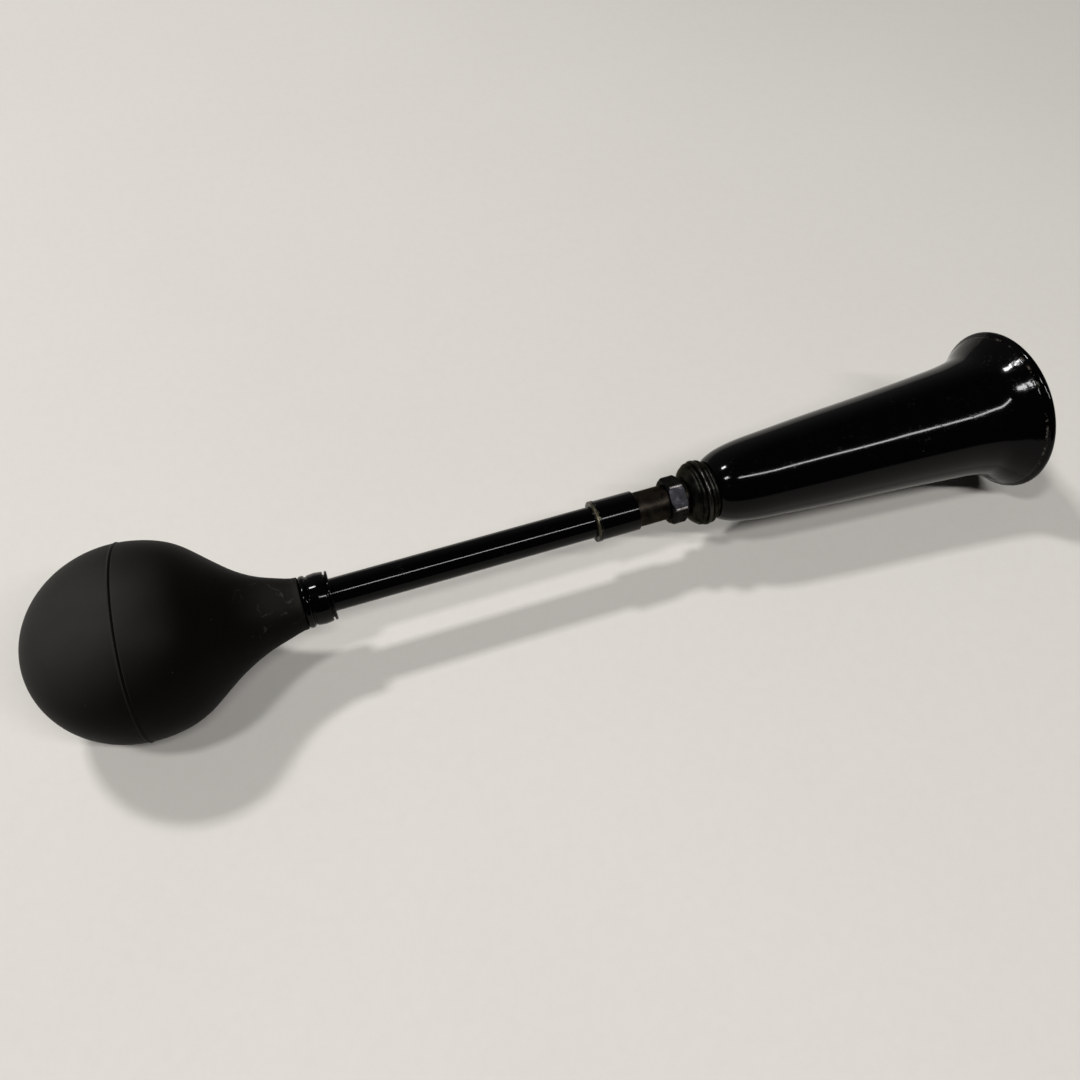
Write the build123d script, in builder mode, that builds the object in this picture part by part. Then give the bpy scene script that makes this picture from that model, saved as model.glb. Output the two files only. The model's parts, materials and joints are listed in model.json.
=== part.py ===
from build123d import *
import math
import os

# Bulb horn: a rubber bulb blows through a straight stem, past a brass reed, into a flared bell.
# The horn lies along X, with the bulb at -X, the bell's mouth at +X, and +Z up.
# The origin is on the horn's axis, in the middle of the bare stem, where a bracket grips it.
# All lengths are in millimetres and all angles in degrees.

# Fits and clearances
RUN_FIT = 0.05          # radial room of a screwed fit
SEAT_GAP = 0.05         # room between faces that screw up against each other
SOLDER_GAP = 0.02       # film between pieces that are soldered or cemented together
SOFT_GAP = 0.3          # room between the rubber and the metal beside it
OVERRUN = 1.0           # how far a cut runs past the face that it opens

# Stem: an enamelled tube, bare metal at both ends
STEM_OD = 14.3
STEM_BARE = 118.0       # from the flange to the sleeve, the length that a bracket can grip
STEM_WALL = 1.0
ENAMEL = 0.05
STEM_NIPPLE = 8.0       # screwed end, in the bulb's ferrule
FLANGE_OD = 21.4
FLANGE_T = 1.2

# Ferrule of the bulb, from its nose to its back: nose, band, groove and bead
NOSE_OD = 18.8
NOSE = 1.5
BAND_OD = 22.0
BAND = 8.3
GROOVE_OD = 21.2
GROOVE = 0.8
BEAD_OD = 22.6
BEAD = 3.9
BAND_EDGE = 0.5         # bevel of the band's edges
BEAD_EDGE = 1.2         # rounding of the bead

# Spigot in the rubber neck, with its tail in the ferrule
SPIGOT_OD = 16.2
SPIGOT_BORE = 9.0
SPIGOT_LENGTH = 18.0
SPIGOT_TAIL_OD = 12.6
BARB_HEIGHT = 0.6
BARBS = 4

# Leather seal washers
WASHER_T = 1.2

# Rubber bulb
BULB_OD = 82.0
BULB_LENGTH = 107.0     # from the pole to the end of the neck
BULB_BAND = 1.0         # straight band between the round rear and the front, up to the mould seam
BULB_FRONT_R = 46.5     # radius of the front of the ball, seen from the side
BULB_SLOPE = 38.7       # steepest slope, between the ball and the neck
BULB_SLOPE_RUN = 12.0
BULB_WALL = 3.6
NECK_OD = 22.5
NECK_GRIP = 11.0        # straight bore at the end of the neck
SEAM_R = 0.6            # mould seam: a low round ridge at the end of the band
SEAM_HEIGHT = 0.35
REST_FLAT = 0.4         # how far the ball is flattened where it rests

# Sleeve soldered on the stem, with a raised lip at its bulb end
SLEEVE_OD = 18.1
SLEEVE_LENGTH = 20.0
SLEEVE_GRIP = 9.5       # length of stem inside the sleeve
SLEEVE_EDGE = 0.4
LIP_OD = 18.7
LIP_LENGTH = 2.1
LIP_EDGE = 0.25

# Reed tube, from inside the sleeve to the throat collar
REED_TUBE_OD = 15.9
REED_TUBE_WALL = 1.05
REED_TUBE_BARE = 14.9   # from the sleeve to the nut
THREAD_OD = 16.0
THREAD_BARE = 1.9       # from the nut to the collar
THREAD_ENGAGED = 7.2    # inside the collar

# Hexagonal nut brazed round the reed tube, with one wide and one narrow chamfer
NUT_FLATS = 19.0
NUT_LENGTH = 7.5
NUT_CHAMFER = 1.3
NUT_CHAMFER_NARROW = 0.7

# Throat collar: a dome, then four turned beads
COLLAR_LENGTH = 12.8
COLLAR_OD = 30.2
COLLAR_BACK_OD = 18.4
COLLAR_CORE_OD = 27.0
COLLAR_FRONT_OD = 24.8
COLLAR_DOME_SHARE = 0.27
COLLAR_DOME_RISE = 0.7  # bulge of the dome over a straight cone
COLLAR_BORE = 13.2
COLLAR_TAIL_OD = 20.0
COLLAR_TAIL = 5.5
COLLAR_BEAD_R = 1.12
# Beads: share of the collar's length, and share of its greatest radius
COLLAR_BEAD_SHARES = ((0.375, 0.957), (0.553, 1.0), (0.727, 0.974), (0.890, 0.884))

# Washer and round nut inside the bell
BACK_WASHER_OD = 23.6
BACK_WASHER_T = 0.8
BACK_NUT_OD = 24.4
BACK_NUT_T = 3.0
BACK_NUT_SLOT = 2.4
BACK_NUT_SLOT_DEPTH = 1.3
BACK_NUT_SLOTS = 4

# Bell: one spun sheet, with its edge rolled back round a wire
BELL_LENGTH = 151.5     # from the back to the wire's plane
BELL_WALL = 0.9
BELL_BACK_OD = 26.6
BELL_DOME = 8.5         # from the back to the end of the dome
BELL_DOME_OD = 34.2
BELL_SHOULDER = 25.5    # from the back to the start of the cone
BELL_SHOULDER_OD = 39.1
BELL_CORNER_SHARE = 0.8766  # of the bell's length, to where the lines of the cone and the lip would meet
BELL_CORNER_RIM_SHARE = 0.7192  # diameter there, as a share of the rim's
FLARE_SHARE = 0.63      # of the lip's line, taken up by the curve between the cone and the lip
RIM_OD = 76.2
WIRE_R = 1.05
ROLL_GAP = 0.05         # room between the wire and the roll
ROLL_TURN = 285.0

# Reed: a shallot with a flat, a tongue on the flat, and a clamp with two screws
PLUG_LENGTH = 9.0
PLUG_FLANGE_OD = 15.2
PLUG_FLANGE_T = 1.0
SHALLOT_OD = 9.0
SHALLOT_BORE = 6.4
SHALLOT_LENGTH = 26.0   # in front of the plug
SHALLOT_SOCKET = 4.0    # inside the plug
SHALLOT_TIP = 1.5       # thickness of the closed tip
SHALLOT_FLAT = 3.6      # height of the flat above the axis
SLOT_WIDTH = 3.4
SLOT_LENGTH = 16.0
SLOT_SETBACK = 3.0      # from the clamp to the slot
TONGUE_T = 0.35
TONGUE_WIDTH = 5.2
TONGUE_LENGTH = 21.0    # free length, from the clamp to the tip
TONGUE_LIFT = 0.9       # how far the tip stands off the flat
CLAMP_LENGTH = 4.6
CLAMP_T = 1.1
CLAMP_EDGE = 0.3
REED_SCREW_D = 1.2
REED_SCREW_DEPTH = 0.5  # of the shank in the shallot
REED_SCREW_HEAD_D = 2.2
REED_SCREW_HEAD_T = 0.7
REED_SCREW_PITCH = 2.8

# Places along the axis
x_flange = -STEM_BARE / 2
x_nose = x_flange - FLANGE_T - SEAT_GAP
x_band = x_nose - NOSE
x_groove = x_band - BAND
x_bead = x_groove - GROOVE
x_ferrule = x_bead - BEAD
x_nipple = x_flange - FLANGE_T - STEM_NIPPLE
x_bulb_washer = x_nipple - SEAT_GAP - WASHER_T
x_tail = x_bulb_washer - SEAT_GAP
x_neck = x_ferrule - SOFT_GAP
x_pole = x_neck - BULB_LENGTH
x_ball = x_pole + BULB_OD / 2
x_widest = x_ball + BULB_BAND

x_sleeve = STEM_BARE / 2
x_stem_end = x_sleeve + SLEEVE_GRIP
x_sleeve_end = x_sleeve + SLEEVE_LENGTH
x_nut = x_sleeve_end + REED_TUBE_BARE
x_thread = x_nut + NUT_LENGTH
x_collar = x_thread + THREAD_BARE
x_tube_end = x_collar + THREAD_ENGAGED
x_throat_washer = x_tube_end + PLUG_FLANGE_T + SEAT_GAP
x_seat = x_throat_washer + WASHER_T + SEAT_GAP
x_bell = x_collar + COLLAR_LENGTH
x_back_washer = x_bell + BELL_WALL + SOLDER_GAP
x_back_nut = x_back_washer + BACK_WASHER_T + SOLDER_GAP
x_rim = x_bell + BELL_LENGTH

x_plug = x_tube_end - PLUG_LENGTH
x_clamp = x_plug - CLAMP_LENGTH
x_shallot = x_plug - SHALLOT_LENGTH
x_slot = x_clamp - SLOT_SETBACK

# Sizes that follow from others
stem_metal_od = STEM_OD - 2 * ENAMEL
reed_tube_bore = REED_TUBE_OD - 2 * REED_TUBE_WALL
roll_r = WIRE_R + ROLL_GAP
wire_circle_r = RIM_OD / 2 - roll_r - BELL_WALL
z_tongue = SHALLOT_FLAT + SOLDER_GAP
z_clamp = z_tongue + TONGUE_T + SOLDER_GAP
z_head = z_clamp + CLAMP_T + SOLDER_GAP
screw_places = [(x_clamp + CLAMP_LENGTH / 2, side * REED_SCREW_PITCH / 2) for side in (-1, 1)]


def ring_section(x_from, x_to, bore, od, mode=Mode.ADD):
    """Half section of a plain ring between two places on the axis."""
    corners = ((x_from, bore / 2), (x_to, bore / 2), (x_to, od / 2), (x_from, od / 2))
    Polygon(*corners, align=None, mode=mode)


def bulb_section(inset, *neck):
    """Half section of the bulb, this far inside its skin, and the corners of its neck."""
    with BuildLine() as outline:
        rear = CenterArc((x_ball, 0), BULB_OD / 2 - inset, 90, 90)
        band = Line(rear @ 0, (x_widest, BULB_OD / 2 - inset))
        front = JernArc(band @ 1, (1, 0), BULB_FRONT_R - inset, -BULB_SLOPE)
        slope = Line(front @ 1, front @ 1 + (front % 1) * BULB_SLOPE_RUN)
        TangentArc(slope @ 1, neck[0], tangent=slope % 1)
        Polyline(*neck, (neck[-1][0], 0), rear @ 1)
    make_face(outline.edges())


# Rubber bulb: hollow, with its mould seam round the widest place, and flattened where it rests
bulb_r = BULB_OD / 2
neck_bore_r = SPIGOT_OD / 2 + SOFT_GAP
rest_depth = bulb_r - REST_FLAT
rest_tilt = math.degrees(math.atan2(rest_depth - RIM_OD / 2, x_rim - x_widest))
with BuildPart() as rubber_bulb:
    with BuildSketch(Plane.XZ):
        bulb_section(0, (x_neck, NECK_OD / 2))
        with Locations((x_widest, bulb_r + SEAM_HEIGHT - SEAM_R)):
            Circle(SEAM_R)
    revolve(axis=Axis.X)
    with BuildSketch(Plane.XZ):
        bulb_section(
            BULB_WALL, (x_neck - NECK_GRIP, neck_bore_r), (x_neck + OVERRUN, neck_bore_r)
        )
    revolve(axis=Axis.X, mode=Mode.SUBTRACT)
    rest_plane = Plane((x_widest, 0, -rest_depth)).rotated((0, -rest_tilt, 0))
    split(bisect_by=rest_plane, keep=Keep.TOP)
rubber_bulb.part.label = "rubber_bulb"

# Spigot: barbs inside the neck, and a tail cemented in the ferrule
barb_pitch = SPIGOT_LENGTH / (BARBS + 1)
barb_root_r = SPIGOT_OD / 2 - BARB_HEIGHT
with BuildPart() as bulb_spigot:
    with BuildSketch(Plane.XZ):
        ring_section(x_ferrule - SPIGOT_LENGTH, x_ferrule - SOLDER_GAP, SPIGOT_BORE, 2 * barb_root_r)
        ring_section(x_ferrule - SOLDER_GAP, x_tail, SPIGOT_BORE, SPIGOT_TAIL_OD)
        for barb in range(BARBS):
            x_barb = x_ferrule - SPIGOT_LENGTH + barb * barb_pitch
            Polygon(
                (x_barb, barb_root_r),
                (x_barb + barb_pitch, barb_root_r),
                (x_barb + barb_pitch, SPIGOT_OD / 2),
                align=None,
            )
    revolve(axis=Axis.X)
bulb_spigot.part.label = "bulb_spigot"

# Ferrule: a rounded bead, a groove, a band and a narrower nose, screwed on the stem
with BuildPart() as bulb_ferrule:
    with BuildSketch(Plane.XZ):
        ring_section(x_ferrule, x_bead, SPIGOT_TAIL_OD, BEAD_OD)
        fillet(vertices().group_by(Axis.Y)[-1], BEAD_EDGE)
    with BuildSketch(Plane.XZ):
        ring_section(x_groove, x_band, SPIGOT_TAIL_OD, BAND_OD)
        chamfer(vertices().group_by(Axis.Y)[-1], BAND_EDGE)
        ring_section(x_bead - BEAD_EDGE, x_groove + BAND_EDGE, SPIGOT_TAIL_OD, GROOVE_OD)
        ring_section(x_bead, x_nose, SPIGOT_TAIL_OD, NOSE_OD)
    revolve(axis=Axis.X)
    with BuildSketch(Plane.XZ):
        ring_section(x_ferrule - OVERRUN, x_nose, 0, SPIGOT_TAIL_OD + 2 * SOLDER_GAP)
        ring_section(x_tail, x_nose + OVERRUN, 0, STEM_OD + 2 * RUN_FIT)
    revolve(axis=Axis.X, mode=Mode.SUBTRACT)
bulb_ferrule.part.label = "bulb_ferrule"

# Leather washer that seals the ferrule on the end of the stem
with BuildPart() as bulb_washer:
    with BuildSketch(Plane.XZ):
        ring_section(x_bulb_washer, x_bulb_washer + WASHER_T, SPIGOT_BORE, stem_metal_od)
    revolve(axis=Axis.X)
bulb_washer.part.label = "bulb_washer"

# Stem: bare metal in the ferrule, the flange and the sleeve, and enamelled between them
stem_bore = STEM_OD - 2 * STEM_WALL
with BuildPart() as stem_tube:
    with BuildSketch(Plane.XZ):
        ring_section(x_nipple, x_stem_end, stem_bore, stem_metal_od)
        ring_section(x_flange, x_sleeve, stem_bore, STEM_OD)
    revolve(axis=Axis.X)
stem_tube.part.label = "stem_tube"

# Thin flange soldered on the stem, for the ferrule to screw up to
flange_bore = stem_metal_od + 2 * SOLDER_GAP
with BuildPart() as stem_flange:
    with BuildSketch(Plane.XZ):
        ring_section(x_flange - FLANGE_T, x_flange - SOLDER_GAP, flange_bore, FLANGE_OD)
        chamfer(vertices().group_by(Axis.Y)[-1], FLANGE_T / 3)
    revolve(axis=Axis.X)
stem_flange.part.label = "stem_flange"

# Sleeve: bored for the stem at the lip's end, and wider for the reed tube
with BuildPart() as stem_sleeve:
    with BuildSketch(Plane.XZ):
        ring_section(x_sleeve + SOLDER_GAP, x_sleeve_end, 0, SLEEVE_OD)
        chamfer(vertices().group_by(Axis.Y)[-1].sort_by(Axis.X)[-1], SLEEVE_EDGE)
    with BuildSketch(Plane.XZ):
        ring_section(x_sleeve + SOLDER_GAP, x_sleeve + LIP_LENGTH, 0, LIP_OD)
        chamfer(vertices().group_by(Axis.Y)[-1], LIP_EDGE)
    revolve(axis=Axis.X)
    with BuildSketch(Plane.XZ):
        ring_section(x_sleeve - OVERRUN, x_stem_end, 0, stem_metal_od + 2 * SOLDER_GAP)
        ring_section(x_stem_end, x_sleeve_end + OVERRUN, 0, REED_TUBE_OD + 2 * SOLDER_GAP)
    revolve(axis=Axis.X, mode=Mode.SUBTRACT)
stem_sleeve.part.label = "stem_sleeve"

# Reed tube, with a screwed end for the throat collar
with BuildPart() as reed_tube:
    with BuildSketch(Plane.XZ):
        ring_section(x_stem_end + SEAT_GAP, x_thread, reed_tube_bore, REED_TUBE_OD)
        ring_section(x_thread, x_tube_end, reed_tube_bore, THREAD_OD)
    revolve(axis=Axis.X)
reed_tube.part.label = "reed_tube"

# Hexagonal nut with a corner at the top, its corners taken off by a cone at each end
nut_corner_r = NUT_FLATS / 2 / math.cos(math.radians(30))
with BuildPart() as hex_nut:
    with BuildSketch(Plane.YZ.offset(x_nut)):
        RegularPolygon(nut_corner_r, 6, rotation=30)
        Circle(REED_TUBE_OD / 2 + SOLDER_GAP, mode=Mode.SUBTRACT)
    extrude(amount=NUT_LENGTH - SOLDER_GAP)
    with BuildSketch(Plane.XZ):
        Polygon(
            (x_nut, 0),
            (x_thread, 0),
            (x_thread, nut_corner_r - NUT_CHAMFER_NARROW),
            (x_thread - NUT_CHAMFER_NARROW, nut_corner_r),
            (x_nut + NUT_CHAMFER, nut_corner_r),
            (x_nut, nut_corner_r - NUT_CHAMFER),
            align=None,
        )
    revolve(axis=Axis.X, mode=Mode.INTERSECT)
hex_nut.part.label = "hex_nut"

# Reed plug: soldered in the end of the reed tube, with a flange and a socket for the shallot
plug_od = reed_tube_bore - 2 * SOLDER_GAP
socket_bore = SHALLOT_OD + 2 * SOLDER_GAP
x_plug_flange = x_tube_end + SOLDER_GAP
with BuildPart() as reed_plug:
    with BuildSketch(Plane.XZ):
        ring_section(x_plug, x_plug_flange, SHALLOT_BORE, plug_od)
        ring_section(x_plug_flange, x_tube_end + PLUG_FLANGE_T, SHALLOT_BORE, PLUG_FLANGE_OD)
        ring_section(x_plug, x_plug + SHALLOT_SOCKET, 0, socket_bore, Mode.SUBTRACT)
    revolve(axis=Axis.X)
reed_plug.part.label = "reed_plug"

# Shallot: a tube with a closed tip, a milled flat, and a slot that the tongue opens and shuts
with BuildPart() as reed_shallot:
    with BuildSketch(Plane.XZ):
        ring_section(x_shallot, x_plug + SHALLOT_SOCKET - SOLDER_GAP, SHALLOT_BORE, SHALLOT_OD)
        ring_section(x_shallot, x_shallot + SHALLOT_TIP, 0, SHALLOT_OD)
    revolve(axis=Axis.X)
    with BuildSketch(Plane.XY.offset(SHALLOT_FLAT)):
        with Locations(((x_shallot - OVERRUN + x_plug) / 2, 0)):
            Rectangle(x_plug - x_shallot + OVERRUN, SHALLOT_OD)
    extrude(amount=SHALLOT_OD, mode=Mode.SUBTRACT)
    with BuildSketch(Plane.XY):
        with Locations((x_slot - SLOT_LENGTH / 2, 0)):
            SlotOverall(SLOT_LENGTH, SLOT_WIDTH)
    extrude(amount=SHALLOT_OD, mode=Mode.SUBTRACT)
    with BuildSketch(Plane.XY.offset(SHALLOT_FLAT - REED_SCREW_DEPTH - SOLDER_GAP)):
        with Locations(*screw_places):
            Circle(REED_SCREW_D / 2 + SOLDER_GAP)
    extrude(amount=SHALLOT_OD, mode=Mode.SUBTRACT)
reed_shallot.part.label = "reed_shallot"

# Tongue: flat under the clamp, then curved up from the flat to its free tip
x_tip = x_clamp - TONGUE_LENGTH
tongue_root = (x_plug - SOLDER_GAP, z_tongue)
with BuildPart() as reed_tongue:
    with BuildSketch(Plane.XZ):
        with BuildLine():
            under = TangentArc((x_clamp, z_tongue), (x_tip, z_tongue + TONGUE_LIFT), tangent=(-1, 0))
            tip = Line(under @ 1, (x_tip, z_tongue + TONGUE_LIFT + TONGUE_T))
            over = TangentArc((x_clamp, z_tongue + TONGUE_T), tip @ 1, tangent=(-1, 0))
            Polyline(under @ 0, tongue_root, (tongue_root[0], z_tongue + TONGUE_T), over @ 0)
        make_face()
    extrude(amount=TONGUE_WIDTH / 2, both=True)
    with BuildSketch(Plane.XY):
        with Locations(*screw_places):
            Circle(REED_SCREW_D / 2 + RUN_FIT)
    extrude(amount=SHALLOT_OD, mode=Mode.SUBTRACT)
reed_tongue.part.label = "reed_tongue"

# Clamp: a small bar over the fixed end of the tongue
with BuildPart() as reed_clamp:
    with BuildSketch(Plane.XY.offset(z_clamp)):
        with Locations((x_clamp + CLAMP_LENGTH / 2, 0)):
            RectangleRounded(CLAMP_LENGTH - 2 * SOLDER_GAP, TONGUE_WIDTH, CLAMP_EDGE)
        with Locations(*screw_places):
            Circle(REED_SCREW_D / 2 + SOLDER_GAP, mode=Mode.SUBTRACT)
    extrude(amount=CLAMP_T)
reed_clamp.part.label = "reed_clamp"

# Two screws, through the clamp and the tongue into the shallot
with BuildPart() as reed_screws:
    with BuildSketch(Plane.XY.offset(SHALLOT_FLAT - REED_SCREW_DEPTH)):
        with Locations(*screw_places):
            Circle(REED_SCREW_D / 2)
    extrude(amount=z_head - SHALLOT_FLAT + REED_SCREW_DEPTH)
    with BuildSketch(Plane.XY.offset(z_head)):
        with Locations(*screw_places):
            Circle(REED_SCREW_HEAD_D / 2)
    extrude(amount=REED_SCREW_HEAD_T)
    with BuildSketch(Plane.XY.offset(z_head + REED_SCREW_HEAD_T / 2)):
        with Locations(*screw_places):
            Rectangle(REED_SCREW_HEAD_D, REED_SCREW_HEAD_T / 2)
    extrude(amount=REED_SCREW_HEAD_T, mode=Mode.SUBTRACT)
reed_screws.part.label = "reed_screws"

# Leather washer between the reed plug and the shoulder in the collar
with BuildPart() as throat_washer:
    with BuildSketch(Plane.XZ):
        ring_section(x_throat_washer, x_throat_washer + WASHER_T, COLLAR_BORE, PLUG_FLANGE_OD)
    revolve(axis=Axis.X)
throat_washer.part.label = "throat_washer"

# Throat collar: a dome and four beads outside, a thread inside, and a tail through the bell
x_dome = x_collar + COLLAR_DOME_SHARE * COLLAR_LENGTH
with BuildPart() as throat_collar:
    with BuildSketch(Plane.XZ):
        with BuildLine():
            dome = SagittaArc(
                (x_dome, COLLAR_CORE_OD / 2), (x_collar, COLLAR_BACK_OD / 2), COLLAR_DOME_RISE
            )
            Polyline(
                dome @ 1,
                (x_collar, 0),
                (x_bell, 0),
                (x_bell, COLLAR_FRONT_OD / 2),
                (x_bell - COLLAR_BEAD_R, COLLAR_FRONT_OD / 2),
                dome @ 0,
            )
        make_face()
        for x_share, r_share in COLLAR_BEAD_SHARES:
            bead_centre_r = r_share * COLLAR_OD / 2 - COLLAR_BEAD_R
            with Locations((x_collar + x_share * COLLAR_LENGTH, bead_centre_r)):
                Circle(COLLAR_BEAD_R)
        ring_section(x_bell, x_bell + COLLAR_TAIL, 0, COLLAR_TAIL_OD)
        ring_section(x_collar - OVERRUN, x_seat, 0, THREAD_OD + 2 * RUN_FIT, Mode.SUBTRACT)
        ring_section(x_seat, x_bell + COLLAR_TAIL + OVERRUN, 0, COLLAR_BORE, Mode.SUBTRACT)
    revolve(axis=Axis.X)
throat_collar.part.label = "throat_collar"

# Washer and slotted round nut that hold the bell on the collar's tail
nut_bore = COLLAR_TAIL_OD + 2 * SOLDER_GAP
with BuildPart() as bell_back_washer:
    with BuildSketch(Plane.XZ):
        ring_section(x_back_washer, x_back_washer + BACK_WASHER_T, nut_bore, BACK_WASHER_OD)
    revolve(axis=Axis.X)
bell_back_washer.part.label = "bell_back_washer"

with BuildPart() as bell_back_nut:
    with BuildSketch(Plane.YZ.offset(x_back_nut)):
        Circle(BACK_NUT_OD / 2)
        Circle(nut_bore / 2, mode=Mode.SUBTRACT)
        with PolarLocations(BACK_NUT_OD / 2, BACK_NUT_SLOTS):
            Rectangle(2 * BACK_NUT_SLOT_DEPTH, BACK_NUT_SLOT, mode=Mode.SUBTRACT)
    extrude(amount=BACK_NUT_T)
bell_back_nut.part.label = "bell_back_nut"

# Slopes of the bell's outside, in radians. An arc turns by twice the angle between its chord and its
# start, so each slope follows from the one before it, from the cone back to the hole.
bell_corner = BELL_CORNER_SHARE * BELL_LENGTH
bell_corner_r = BELL_CORNER_RIM_SHARE * RIM_OD / 2
cone_turn = math.atan2(bell_corner_r - BELL_SHOULDER_OD / 2, bell_corner - BELL_SHOULDER)
shoulder_chord = math.atan2(BELL_SHOULDER_OD - BELL_DOME_OD, 2 * (BELL_SHOULDER - BELL_DOME))
dome_chord = math.atan2(BELL_DOME_OD - BELL_BACK_OD, 2 * BELL_DOME)
dome_turn = 2 * shoulder_chord - cone_turn
back_turn = 2 * dome_chord - dome_turn
to_wire = (BELL_LENGTH - bell_corner, wire_circle_r - bell_corner_r)
lip_turn = math.atan2(to_wire[1], to_wire[0]) - math.asin(roll_r / math.hypot(*to_wire))
half_flare = (lip_turn - cone_turn) / 2
flare_r = FLARE_SHARE * math.sqrt(math.hypot(*to_wire) ** 2 - roll_r**2) / math.tan(half_flare)


def inside(x, r, inset, turn, corner=0):
    """Place this far inside a point of the sheet that slopes by turn, or that turns by twice corner."""
    reach = inset / math.cos(corner)
    return (x_bell + x + reach * math.sin(turn), r - reach * math.cos(turn))


def bell_side(inset):
    """One side of the sheet, this far inside its outside. Returns its ends: at the hole and at the curl."""
    cone_start = inside(BELL_SHOULDER, BELL_SHOULDER_OD / 2, inset, cone_turn)
    dome_end = inside(BELL_DOME, BELL_DOME_OD / 2, inset, dome_turn)
    back_r = BELL_BACK_OD / 2 - inset * (1 - math.sin(back_turn)) / math.cos(back_turn)
    corner = inside(bell_corner, bell_corner_r, inset, cone_turn + half_flare, half_flare)
    shoulder = TangentArc(cone_start, dome_end, tangent=(-math.cos(cone_turn), -math.sin(cone_turn)))
    dome = TangentArc(dome_end, (x_bell + inset, back_r), tangent=shoulder % 1)
    back = Line(dome @ 1, (x_bell + inset, nut_bore / 2))
    curl = CenterArc((x_rim, wire_circle_r), roll_r + inset, math.degrees(lip_turn) - 90, ROLL_TURN)
    FilletPolyline(cone_start, corner, curl @ 0, radius=flare_r + inset)
    return back @ 1, curl @ 1


# Bell: one sheet, from the hole in its back over the dome, the cone and the lip, curled round the wire
with BuildPart() as bell_shell:
    with BuildSketch(Plane.XZ):
        with BuildLine():
            hole_outside, curl_outside = bell_side(0)
            hole_inside, curl_inside = bell_side(BELL_WALL)
            Line(hole_outside, hole_inside)
            Line(curl_outside, curl_inside)
        make_face()
    revolve(axis=Axis.X)
bell_shell.part.label = "bell_shell"

# Wire inside the rolled edge
with BuildPart() as bell_rim_wire:
    with BuildSketch(Plane.XZ):
        with Locations((x_rim, wire_circle_r)):
            Circle(WIRE_R)
    revolve(axis=Axis.X)
bell_rim_wire.part.label = "bell_rim_wire"

pieces = (
    rubber_bulb, bulb_spigot, bulb_ferrule, bulb_washer,
    stem_tube, stem_flange, stem_sleeve, reed_tube, hex_nut,
    reed_plug, reed_shallot, reed_tongue, reed_clamp, reed_screws,
    throat_washer, throat_collar, bell_back_washer, bell_back_nut, bell_shell, bell_rim_wire,
)
os.makedirs("parts", exist_ok=True)
for piece in pieces:
    export_step(piece.part, f"parts/{piece.part.label}.step")
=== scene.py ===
# %% [markdown]
# # A bulb horn
# Squeezing a rubber bulb blows air down a straight stem, past a brass reed, and out through a
# flared bell. Nearly every piece of such a horn is turned on a lathe or spun over a former, so
# nearly every piece here is an outline turned round the horn's axis, which is X. Lengths are in
# metres, +Z is up and the bell's mouth looks towards +X.

# %% The solid model, loaded as a fixed frame
import json
import math

import bmesh
import bpy
import numpy as np
from mathutils import Matrix, Vector


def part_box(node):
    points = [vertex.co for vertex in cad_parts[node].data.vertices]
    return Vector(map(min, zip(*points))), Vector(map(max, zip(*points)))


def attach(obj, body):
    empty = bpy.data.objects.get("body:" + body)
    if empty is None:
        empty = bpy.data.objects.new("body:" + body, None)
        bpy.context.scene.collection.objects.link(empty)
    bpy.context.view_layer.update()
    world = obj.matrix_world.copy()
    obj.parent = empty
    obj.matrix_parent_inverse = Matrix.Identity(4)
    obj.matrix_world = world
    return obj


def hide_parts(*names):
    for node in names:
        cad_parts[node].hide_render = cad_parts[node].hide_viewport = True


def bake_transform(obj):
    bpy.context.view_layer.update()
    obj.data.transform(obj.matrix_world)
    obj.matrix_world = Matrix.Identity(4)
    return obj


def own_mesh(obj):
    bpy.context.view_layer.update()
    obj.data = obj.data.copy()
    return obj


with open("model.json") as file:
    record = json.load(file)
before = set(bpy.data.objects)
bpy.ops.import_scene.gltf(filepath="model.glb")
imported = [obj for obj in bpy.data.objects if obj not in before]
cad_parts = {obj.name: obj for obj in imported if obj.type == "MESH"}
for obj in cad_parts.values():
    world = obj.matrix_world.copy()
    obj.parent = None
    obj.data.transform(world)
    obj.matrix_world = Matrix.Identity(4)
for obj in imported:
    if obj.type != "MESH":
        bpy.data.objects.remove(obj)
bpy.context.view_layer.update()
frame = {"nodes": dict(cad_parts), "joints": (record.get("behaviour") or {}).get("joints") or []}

# %% [markdown]
# ## Shader maths as Python expressions
# A finish is mostly small sums on masks: a scratch here, less of it there. Blender does such sums
# with Math nodes, which are slow to write out one by one. Wrapping an output socket in a class
# with Python's operators lets the sum be written as a sum, and each operator adds its own node.

# %% One output socket with operators
class Signal:
    def __init__(self, finish, socket):
        self.finish, self.socket = finish, socket

    def output(self, name):
        """Another output of the same node."""
        return Signal(self.finish, self.socket.node.outputs[name])

    def math(self, operation, other=0.0, clamp=False):
        settings = {"operation": operation, "use_clamp": clamp}
        return self.finish.node("ShaderNodeMath", settings, self, other)

    def __add__(self, other):
        return self.math("ADD", other)

    def __sub__(self, other):
        return self.math("SUBTRACT", other)

    def __mul__(self, other):
        return self.math("MULTIPLY", other)

    def __pow__(self, other):
        return self.math("POWER", other)

    __radd__, __rmul__ = __add__, __mul__

    def clamped(self):
        return self.math("ADD", 0.0, clamp=True)

    def rise(self, low, high):
        """0 below low, 1 above high, a soft step between, or the reverse if low is the larger."""
        settings = {"interpolation_type": "SMOOTHSTEP"}
        return self.finish.node("ShaderNodeMapRange", settings, self, low, high, 0.0, 1.0)


# %% [markdown]
# ## A material and the one method that adds nodes to it
# Every node comes from `node`: its type, its settings, and then what goes into its sockets, in
# order or by name. `spots`, `specks` and `scratches` are the three patterns that wear is made of.
# Their sizes are real lengths, because the coordinates are the object's own metres. `facing`
# tells the top of a piece from its underside.

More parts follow.
